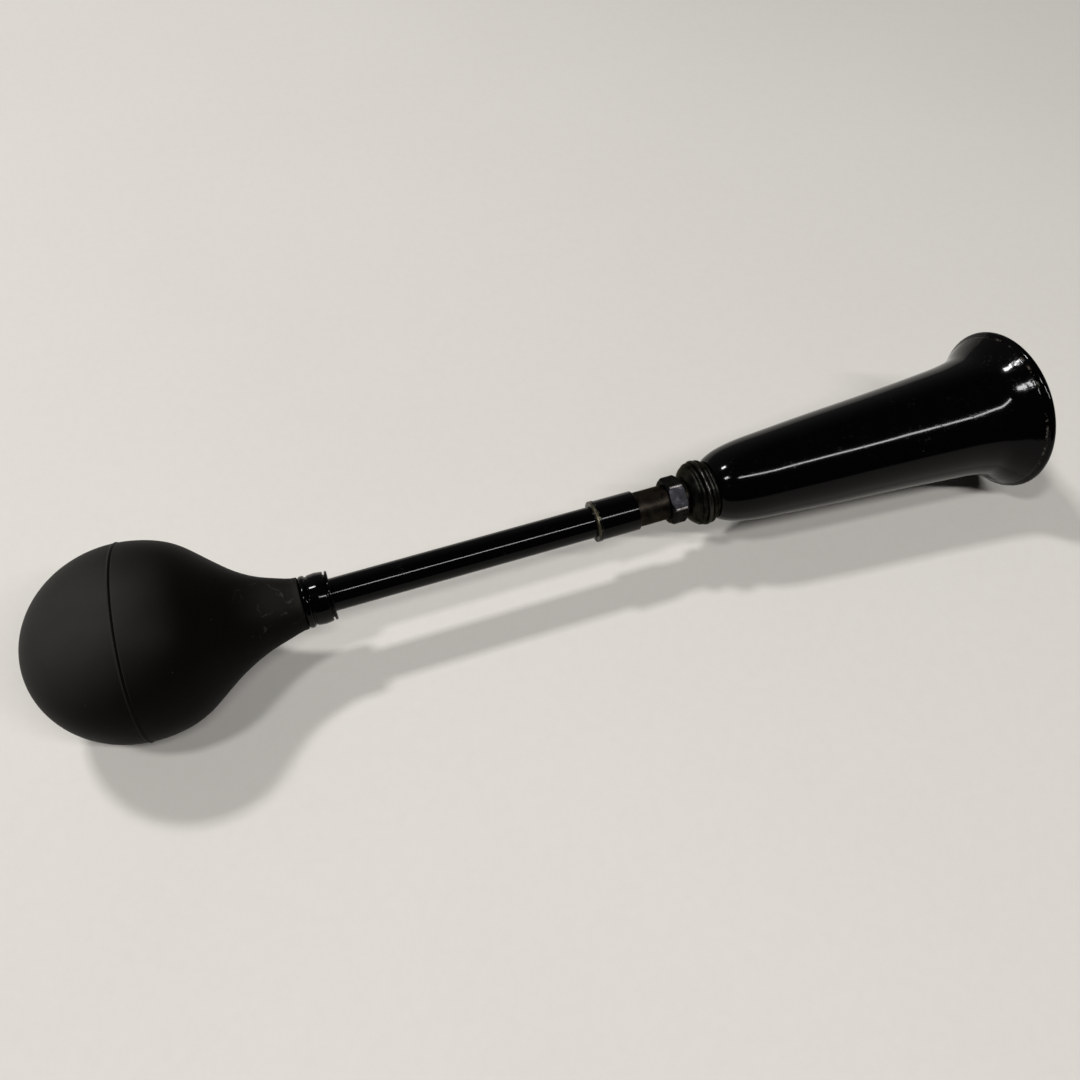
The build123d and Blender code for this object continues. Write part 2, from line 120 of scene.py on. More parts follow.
# %% The material class
class Finish:
    def __init__(self, name):
        self.material = bpy.data.materials.new(name)
        self.material.use_nodes = True
        self.tree = self.material.node_tree
        self.shader = self.tree.nodes["Principled BSDF"]
        self.place = self.node("ShaderNodeTexCoord", {"output": "Object"})
        apart = self.node("ShaderNodeSeparateXYZ", {}, self.place)
        self.x, self.y, self.z = (apart.output(axis) for axis in "XYZ")

    def node(self, kind, settings, *values, **named):
        node = self.tree.nodes.new(kind)
        for key, value in settings.items():
            if key != "output":
                setattr(node, key, value)
        sockets = dict(enumerate(values))
        sockets.update({key.replace("_", " "): value for key, value in named.items()})
        for key, value in sockets.items():
            self.feed(node.inputs[key], value)
        return Signal(self, node.outputs[settings.get("output", 0)])

    def feed(self, socket, value):
        if isinstance(value, Signal):
            self.tree.links.new(value.socket, socket)
        elif value is not None:
            is_colour = socket.type == "RGBA" and len(value) == 3
            socket.default_value = (*value, 1.0) if is_colour else value

    def blend(self, share, low, high):
        """A colour between two colours."""
        mix = {"data_type": "RGBA", "output": 2}
        return self.node("ShaderNodeMix", mix, share, None, None, None, None, None, low, high)

    def stretched(self, x, y, z):
        """The object's coordinates, scaled along each axis."""
        return self.node("ShaderNodeVectorMath", {"operation": "MULTIPLY"}, self.place, (x, y, z))

    def facing(self, axis):
        """How far the surface faces along an axis, from -1 to 1."""
        normal = self.node("ShaderNodeNewGeometry", {"output": "Normal"})
        return self.node("ShaderNodeSeparateXYZ", {"output": axis}, normal)

    def spots(self, size, detail=3.0, roughness=0.5, at=None):
        """Cloudy noise around 0.5, with features of this size."""
        return self.node(
            "ShaderNodeTexNoise", {}, Vector=at or self.place, Scale=1 / size, Detail=detail,
            Roughness=roughness,
        )

    def specks(self, spacing, radius, rarity=0.0, at=None):
        """Separate round specks, 1 inside. Rarity leaves out that share of them."""
        cell = self.node("ShaderNodeTexVoronoi", {}, Vector=at or self.place, Scale=1 / spacing)
        chance = self.node("ShaderNodeSeparateXYZ", {}, cell.output("Color"))
        inside = cell.rise(radius / spacing, 0.4 * radius / spacing)
        return inside * chance.rise(rarity, rarity + 0.05)

    def scratches(self, size, width, at):
        """Thin wandering lines: where a noise crosses its middle value."""
        noise = self.spots(size, detail=1.0, at=at)
        return (noise - 0.5).math("ABSOLUTE").rise(width, 0.3 * width)

    def bump(self, height, distance, strength):
        return self.node(
            "ShaderNodeBump", {}, Strength=strength, Distance=distance, Height=height
        )

    def surface(self, **sockets):
        for key, value in sockets.items():
            self.feed(self.shader.inputs[key.replace("_", " ")], value)
        print(f"{self.material.name}: {len(self.tree.nodes)} nodes")
        return self.material


# %% [markdown]
# ## Rubber of the bulb
# Old moulded rubber is nearly black and hardly shines. The side that faces up and back is painted
# lighter, a painted sheen in place of the light that falls there, and the mask for it comes from
# the direction in which the surface faces. Dust stays in the pores, and the neck is scuffed where
# the ferrule is gripped. A low specular level keeps the lamps from lying on it as clear highlights,
# and a fine noise in the bump breaks up what is left of them.

# %% Rubber
rubber_finish = Finish("rubber")
bloom = rubber_finish.spots(0.030, detail=4.0)
pores = rubber_finish.spots(0.0011, detail=2.0)
dust = rubber_finish.specks(0.0042, 0.00028, rarity=0.72)
grime = rubber_finish.spots(0.0075, detail=5.0, roughness=0.65)
neck_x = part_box("rubber_bulb")[1].x
neck = rubber_finish.x.rise(neck_x - 0.027, neck_x - 0.005)
scuffs = neck * rubber_finish.scratches(0.008, 0.03, rubber_finish.stretched(1.0, 1.0, 2.4))
scuffs = scuffs * grime.rise(0.50, 0.62)
# Painted sheen: the side facing up and back is lightened by the way it faces, in place of light.
painted_sheen = (rubber_finish.facing("Z") * 0.86 - rubber_finish.facing("X") * 0.50).rise(0.15, 1.05)
painted_sheen = painted_sheen * painted_sheen * (0.55 + bloom * 0.7)
rubber_colour = rubber_finish.blend(bloom, (0.0014, 0.0012, 0.0010), (0.0030, 0.0026, 0.0022))
rubber_colour = rubber_finish.blend(painted_sheen, rubber_colour, (0.0250, 0.0232, 0.0212))
rubber_colour = rubber_finish.blend(neck * 0.45, rubber_colour, (0.0056, 0.0052, 0.0045))
rubber_colour = rubber_finish.blend(dust * 0.36, rubber_colour, (0.070, 0.066, 0.058))
rubber_colour = rubber_finish.blend(scuffs * 0.35, rubber_colour, (0.060, 0.056, 0.050))
rubber = rubber_finish.surface(
    Base_Color=rubber_colour,
    Roughness=0.44 + bloom * 0.10 + pores * 0.06 + scuffs * 0.15,
    Normal=rubber_finish.bump(pores + grime * 0.6 - dust * 0.4, 0.00006, 0.5),
    Specular_IOR_Level=0.03,
)

# %% [markdown]
# ## Black enamel
# Stoved enamel is black glass over brass, thick enough to round off every edge. It isn't quite
# flat, so a reflected line wavers a little. Years of use leave tiny pits, dull rubbed places and
# a film of dust that lies only on top, and they weaken what it mirrors, so its index of
# refraction is low. One function makes it, with the amount of wear as its choice, because the
# stem and the bell have had different lives. Rolling the bell's edge over its wire leaves the
# last centimetre uneven, which breaks reflections up there, and the enamel is chipped along the
# crack beside the roll.

# %% Enamel
WORN_ENAMEL_IOR = 1.20


def enamel_finish(name, wear=0.5, gloss=0.055, ripple=0.5, rim=None):
    """Black enamel. The rim, if there is one, is where along X the uneven part starts."""
    finish = Finish(name)
    waves = finish.spots(0.016, detail=2.0, at=finish.stretched(0.45, 1.0, 1.0))
    smears = finish.spots(0.011, detail=5.0, roughness=0.6)
    pits = finish.specks(0.0034, 0.00022, rarity=0.80)
    flecks = finish.specks(0.0062, 0.00040, rarity=0.90 - 0.10 * wear)
    rubs = finish.scratches(0.007, 0.014, finish.stretched(0.5, 2.0, 2.0)) * smears.rise(0.60, 0.72)
    dust = finish.spots(0.0016, detail=2.0).rise(0.60, 0.75) * smears.rise(0.42, 0.62)
    film = dust * finish.facing("Z").rise(0.1, 0.9) * wear
    height = waves * ripple + smears * 0.03 - pits * 0.10
    if rim:
        dents = finish.spots(0.0034, detail=1.5, at=finish.stretched(0.8, 1.0, 1.0))
        height = height + dents * finish.x.rise(rim + 0.0025, rim + 0.0070) * 1.1
    colour = finish.blend(film * 0.018, (0.0007, 0.0007, 0.0008), (0.21, 0.20, 0.18))
    colour = finish.blend(rubs * (0.07 * wear), colour, (0.12, 0.115, 0.11))
    colour = finish.blend(flecks * 0.20, colour, (0.12, 0.11, 0.10))
    if rim:
        crack_x = rim + 0.0097
        crack = finish.x.rise(crack_x - 0.0005, crack_x - 0.0001)
        crack = crack * finish.x.rise(crack_x + 0.0005, crack_x + 0.0001)
        chipped = finish.spots(0.0018, detail=3.0).rise(0.50, 0.60)
        chipped = chipped * finish.spots(0.016, detail=1.0).rise(0.50, 0.62)
        colour = finish.blend(crack * chipped * 0.5, colour, (0.13, 0.115, 0.10))
    return finish.surface(
        Base_Color=colour,
        Roughness=(
            gloss + smears * (0.09 * wear) + film * 0.22 + rubs * (0.35 * wear) + pits * 0.25
        ),
        Normal=finish.bump(height, 0.00035, 0.35),
        IOR=WORN_ENAMEL_IOR,
    )


UNEVEN_RIM = 0.0141
enamel = enamel_finish("enamel")
bell_enamel = enamel_finish(
    "bell_enamel", wear=0.8, gloss=0.05, ripple=0.6, rim=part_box("bell_shell")[1].x - UNEVEN_RIM
)

# %% [markdown]
# ## Enamel worn through on the sleeve's lip
# The lip stands above the sleeve and takes the knocks, so the black is worn through to brass
# along its edges and chipped below it. Its distance from the axis is what finds it here. A cloudy
# noise keeps the worn band from being a painted stripe.

# %% Worn enamel
def radius_of(finish):
    """Distance from the horn's axis."""
    return (finish.y * finish.y + finish.z * finish.z) ** 0.5


sleeve_finish = Finish("sleeve_enamel")
sleeve_low, sleeve_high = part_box("stem_sleeve")
from_lip = sleeve_finish.x - sleeve_low.x
wear_noise = sleeve_finish.spots(0.0032, detail=5.0, roughness=0.65)
on_lip = radius_of(sleeve_finish).rise(sleeve_high.z - 0.0001, sleeve_high.z + 0.0001)
edge = from_lip.rise(0.0013, 0.0002) + on_lip * from_lip.rise(0.0026, 0.0018)
upper = sleeve_finish.z.rise(-0.0015, 0.0065)
worn = (edge * 0.55 + wear_noise - 0.88 + upper * 0.12).rise(0.0, 0.16) * (0.35 + upper * 0.65)
chips = from_lip.rise(0.0062, 0.0030) * sleeve_finish.z.rise(-0.001, -0.004)
chips = chips * wear_noise.rise(0.55, 0.60)
sleeve_smears = sleeve_finish.spots(0.009, detail=5.0)
sleeve_pits = sleeve_finish.specks(0.0030, 0.00022, rarity=0.75)
sleeve_relief = sleeve_smears * 0.05 - worn * 0.5 - chips * 0.8 - sleeve_pits * 0.15
sleeve_dull = 0.07 + sleeve_smears * 0.05 + worn * 0.26 + chips * 0.40 + sleeve_pits * 0.2
sleeve_colour = sleeve_finish.blend(worn, (0.0008, 0.0008, 0.0009), (0.060, 0.055, 0.036))
sleeve_colour = sleeve_finish.blend(chips * 0.8, sleeve_colour, (0.045, 0.027, 0.016))
sleeve_enamel = sleeve_finish.surface(
    Base_Color=sleeve_colour,
    Roughness=sleeve_dull.clamped(),
    Metallic=worn * 0.7,
    Normal=sleeve_finish.bump(sleeve_relief, 0.00018, 0.6),
    IOR=WORN_ENAMEL_IOR,
)

# %% [markdown]
# ## Brass that has lost its polish
# The reed tube, the nut and the collar are bare brass gone dark with handling. Each keeps a
# little bright metal on its high places: the nut's corners, the collar's beads. The mask for
# those is the distance from the axis, broken up by noise, and the tube has no high places, only a
# satin sheen. Metal turns into a clear mirror at a glancing angle. A grey edge tint stops that,
# as tarnish does.

# %% Dark brass
def dark_brass(name, colour, shade, roughness, relief=0.00007, high_at=None, bright=None):
    """Tarnished brass between two tones, bright where the radius is above the range high_at."""
    finish = Finish(name)
    patina = finish.spots(0.0045, detail=6.0, roughness=0.65)
    grain = finish.spots(0.0009, detail=3.0, at=finish.stretched(3.0, 1.0, 1.0))
    pits = finish.specks(0.0012, 0.00018, rarity=0.6)
    tone = finish.blend(patina.rise(0.32, 0.68), shade, colour)
    height = patina * 0.5 + grain * 0.3 - pits * 0.5
    dull = roughness + patina * 0.16 + grain * 0.06
    if high_at:
        high = radius_of(finish).rise(*high_at)
        high = (high * 0.8 + patina - 0.55).rise(0.0, 0.5)
        tone = finish.blend(high, tone, bright)
        dull = dull - high * 0.12
    return finish.surface(
        Base_Color=tone,
        Metallic=0.9,
        Roughness=dull,
        Normal=finish.bump(height, relief, 0.7),
        Specular_Tint=(0.45, 0.45, 0.40, 1.0),
    )


reed_tube_brass = dark_brass(
    "reed_tube_brass", colour=(0.019, 0.015, 0.0115), shade=(0.0050, 0.0040, 0.0032), roughness=0.32
)
nut_brass = dark_brass(
    "nut_brass", colour=(0.0145, 0.0142, 0.0180), shade=(0.0026, 0.0026, 0.0026), roughness=0.28,
    relief=0.00016, high_at=(0.0104, 0.0112), bright=(0.13, 0.12, 0.115),
)
collar_brass = dark_brass(
    "collar_brass", colour=(0.0165, 0.0165, 0.0135), shade=(0.0020, 0.0020, 0.0018),
    roughness=0.28, relief=0.00022, high_at=(0.0143, 0.0154), bright=(0.028, 0.027, 0.024),
)

# %% [markdown]
# ## The pieces that only show when the horn is apart
# The spigot, the plug and the back nut are plain turned brass, the reed's parts are hard rolled
# sheet, the screws and the rim's wire are steel and the seals are leather. Turning leaves fine
# rings round the axis, so the noise for turned brass is squeezed along X.

# %% Inner finishes
def turned_metal(name, colour, shade, roughness, ring=0.00016):
    finish = Finish(name)
    rings = finish.spots(ring, detail=2.0, at=finish.stretched(1.0, 0.04, 0.04))
    tarnish = finish.spots(0.004, detail=5.0)
    return finish.surface(
        Base_Color=finish.blend(tarnish.rise(0.35, 0.70), colour, shade),
        Metallic=1.0,
        Roughness=roughness + tarnish * 0.16 + rings * 0.06,
        Normal=finish.bump(rings, 0.00002, 0.5),
    )


brass = turned_metal("brass", (0.64, 0.45, 0.19), (0.36, 0.24, 0.10), 0.24)
reed_brass = turned_metal("reed_brass", (0.74, 0.56, 0.26), (0.58, 0.41, 0.17), 0.16)
steel = turned_metal("steel", (0.42, 0.41, 0.39), (0.20, 0.17, 0.14), 0.30)

leather_finish = Finish("leather")
leather_grain = leather_finish.node(
    "ShaderNodeTexVoronoi", {}, Vector=leather_finish.place, Scale=2200.0
)
leather_stain = leather_finish.spots(0.003, detail=5.0)
leather = leather_finish.surface(
    Base_Color=leather_finish.blend(leather_stain, (0.110, 0.055, 0.028), (0.260, 0.150, 0.080)),
    Roughness=0.62 + leather_stain * 0.2,
    Normal=leather_finish.bump(leather_grain, 0.00010, 0.6),
)

inner_finishes = {
    "bulb_spigot": brass, "bulb_washer": leather, "reed_plug": brass, "reed_shallot": reed_brass,
    "reed_tongue": reed_brass, "reed_clamp": brass, "reed_screws": steel, "throat_washer": leather,
    "bell_back_washer": brass, "bell_back_nut": brass, "bell_rim_wire": steel,
}
for node, material in inner_finishes.items():
    mesh = frame["nodes"][node].data
    mesh.materials.clear()
    mesh.materials.append(material)
print("inner pieces finished:", len(inner_finishes))

# %% [markdown]
# ## Outlines
# A turned piece is its outline and nothing more. `rounded` softens the corners of an outline,
# each by its own radius, since even a sharp-looking edge on a real piece is a small arc that
# catches the light. It adds a point beside each arc, which keeps the shading of the flat next to
# it flat. `faired` draws a smooth curve through a few measured places, as a batten does.

# %% Outline helpers
MM = 0.001


def rounded(corners, steps=6):
    """Points along an outline given as (x, r) or (x, r, rounding), in millimetres."""
    points = []
    before_after = zip(corners[-1:] + corners[:-1], corners, corners[1:] + corners[:1])
    for before, corner, after in before_after:
        here = np.array(corner[:2], float)
        radius = corner[2] if len(corner) > 2 else 0.0
        ways = [np.array(other[:2], float) - here for other in (before, after)]
        lengths = [np.linalg.norm(way) for way in ways]
        ways = [way / length for way, length in zip(ways, lengths)]
        half = math.acos(max(-1.0, min(1.0, float(ways[0] @ ways[1])))) / 2
        if radius <= 0 or half > 1.5:
            points.append(tuple(here))
            continue
        reach = radius / math.tan(half)
        hold = min(0.4 * radius, 0.2 * (min(lengths) - reach))
        middle = ways[0] + ways[1]
        centre = here + middle / np.linalg.norm(middle) * radius / math.sin(half)
        start, end = (here + way * reach - centre for way in ways)
        sweep = math.acos(max(-1.0, min(1.0, float(start @ end) / radius ** 2)))
        points.append(tuple(here + ways[0] * (reach + hold)))
        for step in range(steps + 1):
            share = step / steps
            if sweep < 1e-6:
                break
            arm = start * math.sin((1 - share) * sweep) + end * math.sin(share * sweep)
            points.append(tuple(centre + arm / math.sin(sweep)))
        points.append(tuple(here + ways[1] * (reach + hold)))
    return points


def faired(places, radii, first, last, count):
    """A smooth curve through (place, radius) pairs, with its slope given at both ends."""
    x, y = np.array(places, float), np.array(radii, float)
    gap, n = np.diff(x), len(x)
    system, right = np.zeros((n, n)), np.zeros(n)
    system[0, 0] = system[-1, -1] = 1.0
    right[0], right[-1] = first, last
    for i in range(1, n - 1):
        system[i, i - 1 : i + 2] = gap[i], 2 * (gap[i - 1] + gap[i]), gap[i - 1]
        rise = (y[i] - y[i - 1]) / gap[i - 1] * gap[i] + (y[i + 1] - y[i]) / gap[i] * gap[i - 1]
        right[i] = 3 * rise
    slope = np.linalg.solve(system, right)
    at = np.linspace(x[0], x[-1], count)
    i = np.clip(np.searchsorted(x, at) - 1, 0, n - 2)
    t, g = (at - x[i]) / gap[i], gap[i]
    r = (
        (1 + 2 * t) * (1 - t) ** 2 * y[i] + t * (1 - t) ** 2 * g * slope[i]
        + t * t * (3 - 2 * t) * y[i + 1] + t * t * (t - 1) * g * slope[i + 1]
    )
    return [(float(a), float(b)) for a, b in zip(at, r)]


def inset(line, depth):
    """The same line, moved this far towards the axis along its own normal."""
    points = np.array(line, float)
    along = np.gradient(points, axis=0)
    along /= np.linalg.norm(along, axis=1)[:, None]
    points = points + np.stack([along[:, 1], -along[:, 0]], 1) * depth
    return [(float(x), float(r)) for x, r in points]


# %% [markdown]
# ## Turning
# `turned` sweeps a closed outline round X, as a lathe does. Points on the axis become one vertex,
# so that a pole has no hole. The radius may depend on the angle too, which is how the hexagonal
# nut is made later. Smooth shading with sharp edges above 35 degrees keeps the arcs round and the
# steps crisp.

# %% The lathe
def put(name, mesh, material):
    """An object for a mesh, in the scene, with its material."""
    mesh.materials.append(material)
    piece = bpy.data.objects.new(name, mesh)
    bpy.context.scene.collection.objects.link(piece)
    return piece


def turned(name, outline, material, sides=160, shape=None):
    """A mesh object swept from a closed outline in millimetres. Shape may change (x, r, angle)."""
    vertices, rings = [], []
    angles = [2 * math.pi * k / sides for k in range(sides)]
    for x, r in outline:
        if r < 1e-6:
            rings.append([len(vertices)] * sides)
            vertices.append((x * MM, 0.0, 0.0))
            continue
        rings.append(list(range(len(vertices), len(vertices) + sides)))
        for angle in angles:
            radius = shape(x, r, angle) if shape else r
            vertices.append((x * MM, -radius * MM * math.sin(angle), radius * MM * math.cos(angle)))
    faces = []
    for near, far in zip(rings, rings[1:] + rings[:1]):
        for k in range(sides):
            corners = [near[k], far[k], far[(k + 1) % sides], near[(k + 1) % sides]]
            corners = [c for i, c in enumerate(corners) if c != corners[i - 1]]
            if len(corners) > 2:
                faces.append(corners)
    mesh = bpy.data.meshes.new(name)
    mesh.from_pydata(vertices, [], faces)
    mesh.polygons.foreach_set("use_smooth", [True] * len(mesh.polygons))
    mesh.set_sharp_from_angle(angle=math.radians(35))
    print(f"{name}: {len(faces)} faces")
    return put(name, mesh, material)


def seat(piece, body, node):
    """Puts a piece on its body, in place of its plain solid."""
    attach(piece, body)
    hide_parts(node)


def reach_of(node):
    """First place, last place and greatest radius of a turned node, in millimetres."""
    low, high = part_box(node)
    return low.x / MM, high.x / MM, high.z / MM


# %% [markdown]
# ## The rubber bulb
# The ball is a little longer behind its seam than it is round, and its front falls in one steep
# straight slope to the neck. Half an ellipse and a faired curve follow that. The seam is the
# flash line of a two-part mould: a low ridge with a thin dark line along its front, so both are
# in the outline itself. The horn's weight bends the neck just behind the ferrule, and the ball
# beyond the bend keeps its shape but points elsewhere. So each ring is moved and also turned with
# the bent axis. Moving it alone would shear the ball into an egg.

# %% Outline of the bulb
pole, neck_end, _ = reach_of("rubber_bulb")
BULB_R = 41.1
NECK_R = 11.7
NECK_BORE_R = 8.4
NECK_GRIP = 6.0
RUBBER = 3.6
POLE_WALL = 4.0
SEAM_X = pole + 42.3
SEAM_RISE, SEAM_WIDTH = 0.32, 0.42
LINE_DEPTH, LINE_WIDTH = 0.22, 0.18
TAIL = 1.2
COVERED = 3.4
rear = [
    (SEAM_X - (SEAM_X - pole + TAIL) * math.cos(t), BULB_R * math.sin(t))
    for t in np.linspace(0, math.pi / 2, 64)
]
front = faired(
    [SEAM_X + d for d in (0, 7, 15, 22.6, 32.6, 42.6, 52.6, 60.6)] + [neck_end],
    [BULB_R, 40.6, 38.85, 35.5, 27.95, 20.56, 15.5, 12.9, NECK_R],
    0.0, -0.22, 90,
)
front += [(neck_end + COVERED * t, NECK_R - 0.45 * t ** 0.5) for t in (0.25, 0.5, 0.75, 0.92)]


def seam_height(x):
    """A rounded ridge, and behind it nothing. Its front foot is cut by a thin line."""
    ridge = math.exp(-(((x - SEAM_X + 0.45) / SEAM_WIDTH) ** 2))
    line = math.exp(-(((x - SEAM_X - 0.42) / LINE_WIDTH) ** 2))
    return SEAM_RISE * ridge - LINE_DEPTH * line


crowd = [(SEAM_X + d, BULB_R - d * d / 92) for d in np.arange(-1.9, 1.5, 0.1)]
bulb_line = [p for p in rear if p[0] < SEAM_X - 2] + crowd
bulb_line += [p for p in front if p[0] > SEAM_X + 1.6]
bulb_line = [(x, r + seam_height(x)) for x, r in bulb_line]
hollow = [p for p in inset(front, RUBBER) if p[0] < neck_end - NECK_GRIP]
lip = [
    (neck_end + COVERED, 10.9), (neck_end + COVERED, NECK_BORE_R),
    (neck_end - NECK_GRIP, NECK_BORE_R),
]
bulb_outline = bulb_line + lip + hollow[::-4] + [(pole + POLE_WALL, 0.0)]
print("bulb outline:", len(bulb_outline), "points, from", round(pole, 2), "to", round(neck_end, 2))

# %% The bulb, bent as it lies
bulb = turned("bulb", bulb_outline, rubber, sides=192)
BEND = Vector((0.0461, 0.0518))
BEND_LENGTH = 27.6 * MM
sideways = BEND.normalized()
for vertex in bulb.data.vertices:
    behind = neck_end * MM - vertex.co.x
    if behind <= 0:
        continue
    bent = min(behind, BEND_LENGTH)
    angle = BEND.length * bent / BEND_LENGTH
    offset = angle * bent / 2 + BEND.length * (behind - bent)
    along = vertex.co.y * sideways.x + vertex.co.z * sideways.y
    across = vertex.co.z * sideways.x - vertex.co.y * sideways.y
    offset += along * math.cos(angle)
    vertex.co.x += along * math.sin(angle) + angle ** 2 * (behind - bent / 1.5) / 2
    vertex.co.y = offset * sideways.x - across * sideways.y
    vertex.co.z = offset * sideways.y + across * sideways.x
print("the ball lies", round(min(v.co.z for v in bulb.data.vertices) / MM, 2), "mm below the axis")
seat(bulb, "bulb", "rubber_bulb")
squeeze = next(joint for joint in frame["joints"] if joint["name"] == "bulb_squeeze")
stroke = squeeze["range_m"][1]
1 - stroke / ((neck_end + COVERED - pole) * MM)
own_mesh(bulb)

# %% [markdown]
# ## Ferrule, flange and stem
# The ferrule is turned from one bar: a shank inside the rubber's end, a round bead against it, a
# groove, a wide band and a narrower nose. Enamel has filled its corners, so all of them are
# rounded. The flange is a thin ring soldered on the stem. The stem is drawn tube, bare where it
# enters the ferrule and the sleeve.

# %% Ferrule
ferrule_start, ferrule_end, bead_r = reach_of("bulb_ferrule")
bead_start, band_start, nose_start = ferrule_start + 3.3, ferrule_start + 7.0, ferrule_end - 0.6
groove_start, socket_end = band_start - 0.8, ferrule_start + 5.25
SPIGOT_SOCKET_R, UNION_BORE_R = 6.32, 7.2
SHANK_R, GROOVE_R, NOSE_R = 8.2, 10.5, 9.4
BAND_BACK_R, BAND_CROWN_R, BAND_FRONT_R = 10.9, 11.2, 10.8
ferrule = turned(
    "ferrule",
    rounded([
        (ferrule_start, SPIGOT_SOCKET_R), (ferrule_start, SHANK_R), (bead_start, SHANK_R),
        (bead_start, bead_r, 1.15), (groove_start, bead_r, 1.0), (groove_start, GROOVE_R, 0.1),
        (band_start, GROOVE_R, 0.1), (band_start, BAND_BACK_R, 0.5),
        ((band_start + nose_start) / 2, BAND_CROWN_R, 2.0), (nose_start, BAND_FRONT_R, 0.5),
        (nose_start, NOSE_R, 0.15), (ferrule_end, NOSE_R, 0.2), (ferrule_end, UNION_BORE_R),
        (socket_end, UNION_BORE_R), (socket_end, SPIGOT_SOCKET_R),
    ]),
    enamel,
)
seat(ferrule, "bulb_union", "bulb_ferrule")

# %% Flange and stem
flange_start, flange_end, flange_r = reach_of("stem_flange")
STEM_METAL_R, STEM_BORE_R = 7.1, 6.15
ON_STEM_R = 7.12
flange = turned(
    "flange",
    rounded([
        (flange_start, ON_STEM_R), (flange_start, flange_r, 0.45), (flange_end, flange_r, 0.45),
        (flange_end, ON_STEM_R),
    ]),
    enamel,
)
seat(flange, "stem", "stem_flange")

stem_start, stem_end, stem_r = reach_of("stem_tube")
sleeve_start, sleeve_end, lip_r = reach_of("stem_sleeve")
stem = turned(
    "stem",
    rounded([
        (stem_start, STEM_BORE_R), (stem_start, STEM_METAL_R, 0.15), (flange_end, STEM_METAL_R),
        (flange_end, stem_r), (sleeve_start, stem_r), (sleeve_start, STEM_METAL_R),
        (stem_end, STEM_METAL_R, 0.15), (stem_end, STEM_BORE_R),
    ]),
    enamel,
)
seat(stem, "stem", "stem_tube")

# %% [markdown]
# ## The reed's tongue
# The tongue is held flat between the clamp and the shallot and bends in front of them. As one
# rigid piece it would turn into both, so its mesh is cut into short lengths between the clamp's
# edge and the tongue's end.

# %% Tongue
tongue_low, tongue_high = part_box("reed_tongue")
clamp_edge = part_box("reed_clamp")[0].x
cut = bmesh.new()
cut.from_mesh(frame["nodes"]["reed_tongue"].data)
for x in np.linspace(clamp_edge, tongue_low.x, 22)[:-1]:
    bmesh.ops.bisect_plane(
        cut, geom=cut.verts[:] + cut.edges[:] + cut.faces[:], plane_co=(x, 0, 0), plane_no=(1, 0, 0)
    )
tongue_mesh = bpy.data.meshes.new("tongue")
cut.to_mesh(tongue_mesh)
cut.free()
tongue = put("tongue", tongue_mesh, reed_brass)
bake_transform(tongue)
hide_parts("reed_tongue")
print("tongue:", len(tongue_mesh.vertices), "vertices")

# %% [markdown]
# ## Sleeve and reed tube
# The sleeve joins the stem to the wider reed tube. Its lip is a narrow raised ring, and both of
# the lip's edges are arcs of about a third of a millimetre, which is where the enamel wears
# first.

# %% Sleeve and reed tube
LIP_LENGTH = 2.1
SLEEVE_R = 9.05
TUBE_R, TUBE_BORE_R = 7.95, 6.9
ON_TUBE_R = 7.97
sleeve = turned(
    "sleeve",
    rounded([
        (sleeve_start, ON_STEM_R), (sleeve_start, lip_r, 0.35),
        (sleeve_start + LIP_LENGTH, lip_r, 0.28), (sleeve_start + LIP_LENGTH, SLEEVE_R, 0.15),
        (sleeve_end, SLEEVE_R, 0.25), (sleeve_end, ON_TUBE_R), (stem_end, ON_TUBE_R),
        (stem_end, ON_STEM_R),
    ]),
    sleeve_enamel,
)
seat(sleeve, "stem", "stem_sleeve")

tube_start, tube_end, thread_r = reach_of("reed_tube")
thread_start = reach_of("hex_nut")[1]
reed_tube = turned(
    "reed_tube",
    rounded([
        (tube_start, TUBE_BORE_R), (tube_start, TUBE_R, 0.2), (thread_start, TUBE_R),
        (thread_start, thread_r), (tube_end, thread_r, 0.3), (tube_end, TUBE_BORE_R),
    ]),
    reed_tube_brass,
)
seat(reed_tube, "stem", "reed_tube")

# %% [markdown]
# ## The hexagonal nut
# A hexagon is where six flats are nearest the axis. Taking the least of their distances along
# each direction gives its section, and taking the least of that and a cone at each end gives the
# rounded chamfers. A soft minimum in place of a hard one rounds all these edges at once, like
# wear does.

# %% Nut
nut_start, nut_end, nut_top = reach_of("hex_nut")
HALF_FLATS = 9.5
WORN = 0.07
BACK_CHAMFER, FRONT_CHAMFER = 1.3, 0.7
NUT_FACE_R = 8.7


def least(values, softness):
    low = min(values)
    return low - softness * math.log(sum(math.exp((low - v) / softness) for v in values))


def nut_shape(x, r, angle):
    """Outside radius of the nut, or the plain radius on its bore and inner faces."""
    if r < HALF_FLATS - 0.5:
        return r
    turns = [(angle - math.radians(30 + 60 * k)) for k in range(6)]
    flats = [HALF_FLATS / math.cos(t) for t in turns if math.cos(t) > 0.5]
    cones = [nut_top - BACK_CHAMFER + (x - nut_start), nut_top - FRONT_CHAMFER + (nut_end - x)]
    return least(flats + cones, WORN) + WORN * 0.3


length = nut_end - nut_start
nut_outline = (
    [(nut_start, ON_TUBE_R), (nut_start, NUT_FACE_R)]
    + [(nut_start + length * (1 - math.cos(math.pi * k / 40)) / 2, HALF_FLATS) for k in range(41)]
    + [(nut_end, NUT_FACE_R), (nut_end, ON_TUBE_R)]
)
nut = turned("nut", nut_outline, nut_brass, sides=288, shape=nut_shape)
seat(nut, "stem", "hex_nut")

# %% [markdown]
# ## The throat collar
# The collar is a dome behind four turned beads of different heights, the second the highest. Each
# bead is half a circle that stands on a core, and the outline goes over each of them in turn. Its
# tail passes through the hole in the bell's back, and a slotted nut inside holds the two
# together.

